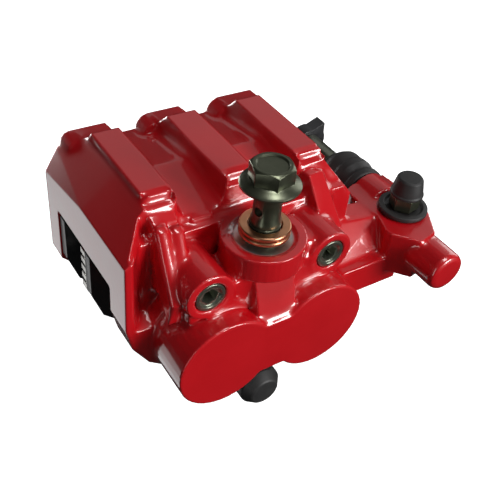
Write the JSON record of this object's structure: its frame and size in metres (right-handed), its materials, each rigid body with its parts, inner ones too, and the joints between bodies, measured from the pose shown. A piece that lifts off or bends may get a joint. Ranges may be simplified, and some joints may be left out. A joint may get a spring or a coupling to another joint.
{
  "type": "brake caliper",
  "caption": "Sliding disc brake caliper for a motorcycle fork: ribbed body with side-by-side pistons, pads on pins, slide-pin bracket, bleed screw and banjo bolt.",
  "frame": {"origin": "midway between the bracket's two fork bolt holes, on the flat face that meets the fork leg", "axes": "+Y from the cylinders towards the claw, along the slide pins; +Z away from the wheel's centre; +X towards the slide-pin arm"},
  "size_m": [0.1199, 0.0918, 0.1236],
  "materials": {
    "red_paint": "glossy red paint over die-cast aluminium",
    "hard_chrome": "ground hard chrome",
    "olive_zinc": "olive zinc plate on steel",
    "zinc_plate": "zinc-plated steel",
    "copper": null,
    "black_rubber": "moulded black rubber",
    "black_steel": "black coated steel",
    "friction_lining": "semi-metallic brake lining",
    "stainless_spring": "stainless spring strip"
  },
  "bodies": {
    "bracket": {"bracket": "black_steel", "pad_retainer": "stainless_spring", "main_slide_pin": "zinc_plate", "lower_slide_pin": "zinc_plate"},
    "caliper": {"caliper_body": "red_paint", "piston_seal_left": "black_rubber", "piston_seal_right": "black_rubber", "dust_seal_left": "black_rubber", "dust_seal_right": "black_rubber", "pad_pin_left": "zinc_plate", "pad_pin_right": "zinc_plate", "pad_spring": "stainless_spring", "main_pin_boot": "black_rubber", "lower_pin_boot": "black_rubber", "cap_tether": "black_rubber"},
    "piston_left": {"piston_left": "hard_chrome"},
    "piston_right": {"piston_right": "hard_chrome"},
    "inner_pad": {"inner_pad_plate": "black_steel", "inner_pad_lining": "friction_lining", "inner_pad_shim": "stainless_spring", "pad_end_clip": "stainless_spring"},
    "outer_pad": {"outer_pad_plate": "black_steel", "outer_pad_lining": "friction_lining"},
    "bleed_screw": {"bleed_screw": "olive_zinc"},
    "bleed_cap": {"bleed_cap": "black_rubber"},
    "banjo_bolt": {"banjo_bolt": "olive_zinc"},
    "upper_washer": {"upper_copper_washer": "copper"},
    "lower_washer": {"lower_copper_washer": "copper"}
  },
  "joints": [
    {"name": "caliper_slide", "type": "slide", "parent": "bracket", "child": "caliper", "axis": [0, 1, 0], "range_m": [-0.004, 0.001]},
    {"name": "piston_left_slide", "type": "slide", "parent": "caliper", "child": "piston_left", "axis": [0, 1, 0], "range_m": [0, 0.003]},
    {"name": "piston_right_slide", "type": "slide", "parent": "caliper", "child": "piston_right", "axis": [0, 1, 0], "range_m": [0, 0.003]},
    {"name": "inner_pad_slide", "type": "slide", "parent": "caliper", "child": "inner_pad", "axis": [0, 1, 0], "range_m": [0, 0.003]},
    {"name": "outer_pad_slide", "type": "slide", "parent": "caliper", "child": "outer_pad", "axis": [0, 1, 0], "range_m": [-0.002, 0]},
    {"name": "bleed_screw_turn", "type": "hinge", "parent": "caliper", "child": "bleed_screw", "pos_m": [0.0378, -0.017, 0.063], "axis": [0, 0, 1], "range_deg": [0, 180]},
    {"name": "bleed_cap_pull", "type": "slide", "parent": "bleed_screw", "child": "bleed_cap", "axis": [0, 0, 1], "range_m": [0, 0.009]},
    {"name": "banjo_bolt_screw", "type": "slide", "parent": "caliper", "child": "banjo_bolt", "axis": [0, 0, 1], "range_m": [-0.013, 0.006]},
    {"name": "lower_washer_slide", "type": "slide", "parent": "caliper", "child": "lower_washer", "axis": [0, 0, 1], "range_m": [-0.0018, 0]},
    {"name": "upper_washer_slide", "type": "slide", "parent": "caliper", "child": "upper_washer", "axis": [0, 0, 1], "range_m": [-0.0018, 0]}
  ],
  "couplings": [
    {"joint": "piston_right_slide", "follows": "piston_left_slide", "ratio": 1},
    {"joint": "inner_pad_slide", "follows": "piston_left_slide", "ratio": 1},
    {"joint": "upper_washer_slide", "follows": "lower_washer_slide", "ratio": 1}
  ]
}
